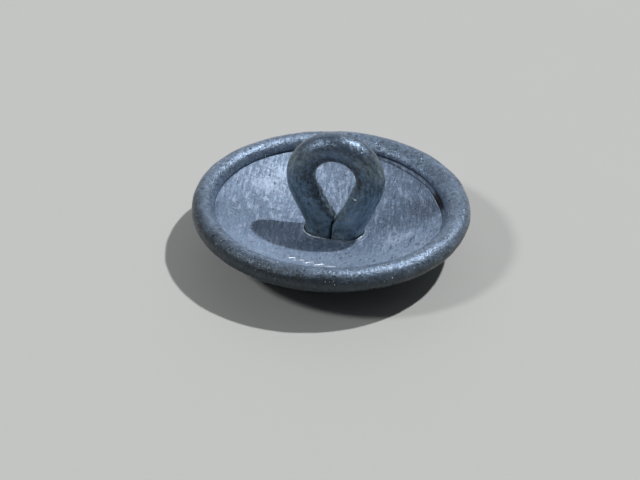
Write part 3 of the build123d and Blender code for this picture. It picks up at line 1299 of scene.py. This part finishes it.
@dataclass
class BentEye:
    """The wire eye: a heavy wire whose legs are pinched together and clinched under the plate."""

    back: DishedBack
    wire: float = 2.4
    opening: float = 3.35
    leg_gap: float = 0.06
    # by side, -1 left and 1 right: the knee's place, from 0 at the plate to 1 at the round end
    knees: dict = field(default_factory=lambda: {-1: 0.237, 1: 0.104})
    knee_radius: float = 1.6
    turn: float = math.radians(-10.8)
    offset: float = 0.3
    squareness: float = 8.0  # of the pressed faces' corners
    pressed_height: float = 1.28  # above the plate, halfway through the legs
    pressed_ends: tuple = (0.7, 1.6)  # how far below and above it the pressing fades out
    front_rise: float = 0.6  # how much higher the legs are pressed together in front
    # by side: how square the leg's inner corners are, above a circle's power of 2
    squared: dict = field(default_factory=lambda: {-1: 3.0, 1: 1.2})
    squared_up_to: tuple = (3.4, 5.2)  # heights above the plate between which that ends
    seam_gap: float = 0.02
    seam_drift: float = 0.11  # how far the seam leans to the right as it rises
    seam_top: float = 2.2
    ragged: float = 0.2  # size of the ragged edge on the left leg
    foot: float = 0.28
    foot_reach: float = 0.8
    foot_sides: int = 48
    leg_steps: int = 16
    knee_steps: int = 12
    lean_steps: int = 24
    bend_steps: int = 120
    steps: int = 300
    sides: int = 64
    bend_z: float = field(init=False)
    bend_radius: float = field(init=False)
    leg_x: float = field(init=False)

    def __post_init__(self) -> None:
        """Take the height from the CAD node."""
        self.bend_radius = (self.opening + self.wire) / 2
        self.bend_z = node_box("wire_eye")[1].z - self.wire / 2 - self.bend_radius
        self.leg_x = (self.wire + self.leg_gap) / 2

    def place(self, u: float, v: float, z: float) -> tuple[float, float, float]:
        """Point in the button's frame from width, thickness and height in the eye's own frame."""
        c, s = math.cos(self.turn), math.sin(self.turn)
        return (self.offset + u * c - v * s, u * s + v * c, z)

    def local(self, point: Vector) -> tuple[float, float, float]:
        """Width, thickness and height of a point in mm, in the eye's own frame."""
        c, s = math.cos(self.turn), math.sin(self.turn)
        x, y = point.x - self.offset, point.y
        return (x * c + y * s, y * c - x * s, point.z)

    def leg(self, side: int) -> tuple[list[tuple[float, float]], float]:
        """Middle line of one leg from its end up to the round end, and how far it leans in radians.

        Args:
            side: -1 for the left leg, 1 for the right one.

        Returns:
            Widths and heights of the line's points, and the lean.
        """
        knee, tall = self.knees[side], self.bend_z - self.back.bottom
        rise = (1 - knee) * tall
        lean = math.asin(self.bend_radius / math.hypot(self.leg_x, rise)) - math.atan2(self.leg_x, rise)
        start = self.back.bottom + knee * tall - self.knee_radius * math.tan(lean / 2)
        end_z = self.back.bottom - self.back.sheet - 0.1
        count = self.leg_steps
        points = [(side * self.leg_x, end_z + (start - end_z) * i / count) for i in range(count)]
        for i in range(self.knee_steps + 1):
            a = lean * i / self.knee_steps
            u = self.leg_x + self.knee_radius * (1 - math.cos(a))
            points.append((side * u, start + self.knee_radius * math.sin(a)))
        (u, z), count = points[-1], self.lean_steps
        far_u = side * self.bend_radius * math.cos(lean)
        far_z = self.bend_z - self.bend_radius * math.sin(lean)
        points += [(u + (far_u - u) * i / count, z + (far_z - z) * i / count) for i in range(1, count)]
        return points, lean

    def middle_line(self) -> Ring:
        """The wire's middle line from the left leg's end to the right leg's.

        Returns:
            Points in the button's frame.
        """
        (left, left_lean), (right, right_lean) = self.leg(-1), self.leg(1)
        first, last = math.pi + left_lean, -right_lean
        bend = []
        for i in range(self.bend_steps + 1):
            a = first + (last - first) * i / self.bend_steps
            bend.append((self.bend_radius * math.cos(a), self.bend_z + self.bend_radius * math.sin(a)))
        return [self.place(u, 0, z) for u, z in (*left, *bend, *reversed(right))]

    def pinch(self, eye: Piece) -> None:
        """Press and square the legs, and make the round end a little uneven.

        Args:
            eye: the swept wire, whose points are moved.
        """
        lines = {side: [(z, u) for u, z in self.leg(side)[0]] for side in self.knees}
        for vert in eye.data.vertices:
            u, v, z = self.local(vert.co / MM)
            side = 1 if u > 0 else -1
            line = lines[side]
            if line[0][0] < z < line[-1][0]:
                i = max(k for k in range(len(line)) if line[k][0] <= z)
                (z0, u0), (z1, u1) = line[i], line[min(i + 1, len(line) - 1)]
                centre = u0 + (u1 - u0) * ((z - z0) / (z1 - z0) if z1 > z0 else 0.0)
                u, v = self.pinched(u, v, z, side, centre)
            if z > self.bend_z:
                u *= 1 + 0.006 * rough(u, v, z, 0.5, 3.3)
            vert.co = Vector(self.place(u, v, z)) * MM

    def pinched(self, u: float, v: float, z: float, side: int, centre: float) -> tuple[float, float]:
        """Where a point of a leg goes when the legs are pressed flat against each other in front.

        Args:
            u: width, in the eye's own frame.
            v: thickness.
            z: height.
            side: -1 for the left leg, 1 for the right one.
            centre: width of the leg's middle line at this height.

        Returns:
            The new width and thickness.
        """
        radius = self.wire / 2
        up, front = z - self.back.bottom, -v / radius
        half = math.sqrt(max(radius**2 - min(abs(v), radius) ** 2, 0.0)) + 0.03
        share = min((centre - u) * side / half, 1.0)
        if share > 0:
            power = 2 + self.squared[side] * (1 - ease(*self.squared_up_to, up)) * ease(-0.2, 0.5, front)
            a = math.atan2(v, share * half)
            k = (abs(math.cos(a)) ** power + abs(math.sin(a)) ** power) ** (-1 / power)
            u -= side * share * half * (k - 1)
            v *= k
            half *= k
            top = self.pressed_height + self.front_rise * front
            pressed = 1 - ease(top - self.pressed_ends[0], top + self.pressed_ends[1], up)
            corner = max(1 - min(abs(v) / (radius * 1.04), 1.0) ** self.squareness, 0.0)
            seam = self.seam_gap / 2 + 0.02 * rough(v, z, side, 0.4, 2.9)
            drift = self.seam_drift * (min(max(up, 0.0), self.seam_top) - self.seam_top / 2)
            drift += 0.05 * rough(0, 0, z, 0.45, 5.5)
            full = (abs(centre) - seam - side * drift) * corner ** (1 / self.squareness)
            u -= side * max(full - half, 0.0) * share * pressed
        if side < 0 and share > 0.3:
            torn = ease(1.0, 1.8, up) * (1 - ease(3.8, 4.8, up)) * ease(0.3, 0.8, share)
            u += self.ragged * torn * max(rough(v, z, 0, 0.22, 6.2), -0.25)
        return u, v

    def foot_pad(self, side: int) -> Piece:
        """One clinched end, pressed flat under the plate.

        Args:
            side: -1 for the left leg, 1 for the right one.

        Returns:
            The foot as a closed mesh.
        """
        half, reach = self.wire / 2, self.foot_reach / 2
        centre = side * (self.leg_x + reach)
        rings = []
        for share, level in ((0.55, 0.0), (0.92, 0.0), (1.0, 0.25), (1.0, 0.75), (0.92, 1.0), (0.55, 1.0)):
            ring = []
            for i in range(self.foot_sides):
                a = math.tau * i / self.foot_sides
                u = centre + share * (half * math.cos(a) + math.copysign(reach, math.cos(a)))
                x, y, _ = self.place(u, share * half * math.sin(a), 0)
                ring.append((x, y, self.back.dish(x, y) - self.back.sheet - 0.02 - level * self.foot))
            rings.append(ring)
        return loft(f"foot_{side}", rings, closed=False)

    def outline(self, margin: float, count: int) -> Ring:
        """Hull of both legs, grown by a margin, at even angles about the button's axis, at z 0.

        Args:
            margin: how far it is grown.
            count: number of points.

        Returns:
            The hull's points.
        """
        reach = self.wire / 2 + margin
        ring = []
        for i in range(count):
            a = math.tau * i / count
            way = Vector((math.cos(a), math.sin(a)))
            low, high = 0.0, 8.0
            for _ in range(26):
                middle = (low + high) / 2
                u, v, _ = self.local(Vector((*(way * middle), 0.0)))
                past = math.hypot(max(abs(u) - self.leg_x, 0.0), v)
                low, high = (middle, high) if past < reach else (low, middle)
            ring.append((way.x * low, way.y * low, 0.0))
        return ring

    def build(self, shop: Workshop) -> Piece:
        """Make the eye's mesh.

        Args:
            shop: the finishes and the trees.

        Returns:
            The finished eye.
        """
        bar = Bar(self.wire / 2, self.steps, self.sides, unevenness=0.07, lump=0.9, stretch=0.3, seed=4.0)
        eye = shop.bend(path_curve("wire_eye_bent", self.middle_line()), bar, Finish.EYE)
        self.pinch(eye)
        feet = [self.foot_pad(side) for side in self.knees]
        for foot in feet:
            shop.dress(foot, Finish.EYE)
        eye = join("wire_eye_bent", [eye, *feet])
        seat(eye, "wire_eye")
        return eye


@dataclass
class SolderRun:
    """The low skirt of solder on the plate, and the thin burr that stands round the legs."""

    eye: BentEye
    width: float = 0.42
    height: float = 0.085
    gap: float = 0.35  # widening of the groove in front, as a share of the width
    gap_at: float = 262.0
    # share of the width from the legs, and height as a share of the skirt's
    section: tuple = (
        *((0.0, -1.5), (0.1, -1.3), (0.2, 0.6), (0.3, 1.0)),
        *((0.45, 0.6), (0.65, 0.2), (0.85, 0.04), (1.0, -0.05)),
    )
    underside: float = 0.2  # depth of the skirt's hidden underside below the plate's face
    count: int = 260
    burr_off: float = 0.16  # of the burr's crest from the legs
    bright: tuple = ((1.0, 212.0, 46.0), (0.75, -25.0, 12.0))  # the strong places: how much, where, spread
    faint: float = 0.12  # its strength elsewhere
    burr: Bar = Bar(0.075, steps=260, sides=12, unevenness=0.04, lump=0.15, stretch=0.6, seed=9.0, caps=False)

    def skirt(self) -> Piece:
        """Closed ring that slopes from the legs down to the plate.

        Returns:
            The skirt as a mesh.
        """
        back = self.eye.back
        inner = self.eye.outline(0.02, self.count)
        outer = self.eye.outline(self.width, self.count)
        rings = []
        for t, level in self.section:
            ring = []
            for a, b in zip(inner, outer):
                turn = math.degrees(math.atan2(a[1], a[0]))
                gap = self.gap * near_angle(turn, self.gap_at, 13.0) if t > 0 else 0.0
                wobble = 1 + 0.25 * rough(a[0], a[1], t, 0.6, 6.6) + gap * (1 - t) / max(t, 0.1)
                x, y = (a[n] + (b[n] - a[n]) * t * wobble for n in (0, 1))
                amount = self.height * (1 + 0.7 * rough(x, y, 0, 0.5, 3.1))
                ring.append((x, y, back.dish(x, y) + back.waves * 0.2 + amount * level))
            rings.append(ring)
        for t in (1.0, 0.5, 0.0):
            ring = []
            for a, b in zip(inner, outer):
                x, y = (a[n] + (b[n] - a[n]) * t for n in (0, 1))
                ring.append((x, y, back.dish(a[0], a[1]) - self.underside))
            rings.append(ring)
        return loft("skirt", rings, closed=True)

    def burr_path(self) -> Piece:
        """Line of the burr's crest, with its thickness along it.

        Returns:
            The line as a curve.
        """
        points, radii = [], []
        for x, y, _ in self.eye.outline(self.burr_off, self.count):
            turn = math.degrees(math.atan2(y, x))
            strong = max(self.faint, *(most * near_angle(turn, at, wide) for most, at, wide in self.bright))
            points.append((x, y, self.eye.back.dish(x, y) + self.height * 0.7 + 0.05 * strong))
            radii.append(max(strong * (1 + 0.6 * rough(x, y, 0, 0.35, 2.2)), 0.08))
        return path_curve("burr", points, cyclic=True, radii=radii)

    def build(self, shop: Workshop) -> Piece:
        """Make the skirt and burr as one piece.

        Args:
            shop: the finishes and the trees.

        Returns:
            The finished solder.
        """
        skirt = self.skirt()
        shop.dress(skirt, Finish.SOLDER)
        solder = join("solder_and_burr", [skirt, shop.bend(self.burr_path(), self.burr, Finish.BARE)])
        seat(solder, "solder_fillet")
        return solder


# ---------------------------------------------------------------------------
# Stage
# ---------------------------------------------------------------------------


def direction(azimuth: float, elevation: float) -> Vector:
    """Unit vector towards an azimuth, from +X towards +Y, and an elevation, both in degrees."""
    a, e = math.radians(azimuth), math.radians(elevation)
    return Vector((math.cos(e) * math.cos(a), math.cos(e) * math.sin(a), math.sin(e)))


@dataclass(frozen=True)
class Lamp:
    """One far light: where it stands, how wide it looks in degrees, and its strength."""

    name: str
    azimuth: float
    elevation: float
    width: float
    strength: float

    def place(self) -> None:
        """Put the light in the scene."""
        data = bpy.data.lights.new(self.name, "SUN")
        data.energy, data.angle = self.strength, math.radians(self.width)
        way = -direction(self.azimuth, self.elevation)
        in_scene(self.name, data).rotation_euler = way.to_track_quat("-Z", "Y").to_euler()


@dataclass
class Studio:
    """Pale floor, two lights, and a dim room with a soft glow behind the button."""

    floor_size: float = 40.0  # metres
    dim: Colour = (0.01, 0.0105, 0.011, 1.0)
    bright: Colour = (0.125, 0.128, 0.134, 1.0)
    bright_way: tuple = (0.0, 0.5, 0.8)
    glow: Colour = (0.62, 0.63, 0.65, 1.0)
    glow_way: tuple = (95.0, 25.0)
    glow_edges: tuple = (33.0, 20.0)  # half its width in degrees, outside and inside its soft edge
    lamps: tuple = (Lamp("key", 27.0, 58.0, 2.4, 2.35), Lamp("left_window", 196.0, 43.0, 9.0, 0.96))

    def surroundings(self) -> bpy.types.World:
        """Dim room that is brighter overhead and behind than in front, with the glow in it.

        Returns:
            The world.
        """
        world = bpy.data.worlds.new("surroundings")
        world.use_nodes = True
        w = Wiring(world.node_tree)
        way = w.add("ShaderNodeTexCoord").outputs["Generated"]
        overhead = w.between(w.vectors("DOT_PRODUCT", way, self.bright_way), -0.4, 0.9)
        room = w.blend(overhead, self.dim, self.bright)
        edges = (math.cos(math.radians(half)) for half in self.glow_edges)
        glow = w.between(w.vectors("DOT_PRODUCT", way, direction(*self.glow_way)), *edges)
        w.feed(world.node_tree.nodes["Background"], Color=w.blend(glow, room, self.glow))
        return world

    def build(self, shop: Workshop) -> None:
        """Make the floor, the world and the lights.

        Args:
            shop: the finishes and the trees.
        """
        half = self.floor_size / 2
        mesh = bpy.data.meshes.new("floor")
        corners = [(-half, -half, 0), (half, -half, 0), (half, half, 0), (-half, half, 0)]
        mesh.from_pydata(corners, [], [(0, 1, 2, 3)])
        floor = in_scene("floor", mesh)
        shop.dress(floor, Finish.FLOOR)
        bpy.context.scene.world = self.surroundings()
        for lamp in self.lamps:
            lamp.place()
        log.info("floor, %d lights", len(self.lamps))


@dataclass(frozen=True)
class Viewpoint:
    """The camera: it looks down at the back of the button."""

    elevation: float = math.radians(32.75)
    distance: float = 123.6  # from the middle of the plate's edge
    lens: float = 84.375
    sensor: float = 36.0
    roll: float = math.radians(1.65)
    aside: float = -0.0173  # shift of the frame, as a share of its width
    above: float = -0.0519
    clip: tuple = (0.01, 10.0)  # metres

    def build(self, target: Vector) -> None:
        """Place the camera so that the target lies on its axis.

        Args:
            target: point in metres.
        """
        data = bpy.data.cameras.new("camera")
        data.lens, data.sensor_width = self.lens, self.sensor
        data.shift_x, data.shift_y = self.aside, self.above
        data.clip_start, data.clip_end = self.clip
        camera = in_scene("camera", data)
        back = Vector((0, -math.cos(self.elevation), math.sin(self.elevation)))
        camera.location = target + back * self.distance * MM
        look = (-back).to_track_quat("-Z", "Y").to_matrix()
        camera.rotation_euler = (look @ Matrix.Rotation(self.roll, 3, "Z")).to_euler()
        bpy.context.scene.camera = camera


def main() -> None:
    """Build the button around its CAD frame, and the stage around the button."""
    logging.basicConfig(level=logging.INFO, format="%(name)s: %(message)s")
    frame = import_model()
    shop = Workshop()

    rim = RimAndFace()
    back = DishedBack(rim)
    eye = BentEye(back)
    rim.build(shop)
    back.build(eye.outline(0.05, back.around), shop)
    eye.build(shop)
    SolderRun(eye).build(shop)
    shop.dress(frame["nodes"]["filler_card"], Finish.CARD)
    log.info("filler_card keeps its CAD shape")

    Studio().build(shop)
    Viewpoint().build(Vector((0, 0, rim.brim_z * MM)))
    bpy.context.scene.view_settings.view_transform = "Standard"
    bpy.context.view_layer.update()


if __name__ == "__main__":
    main()
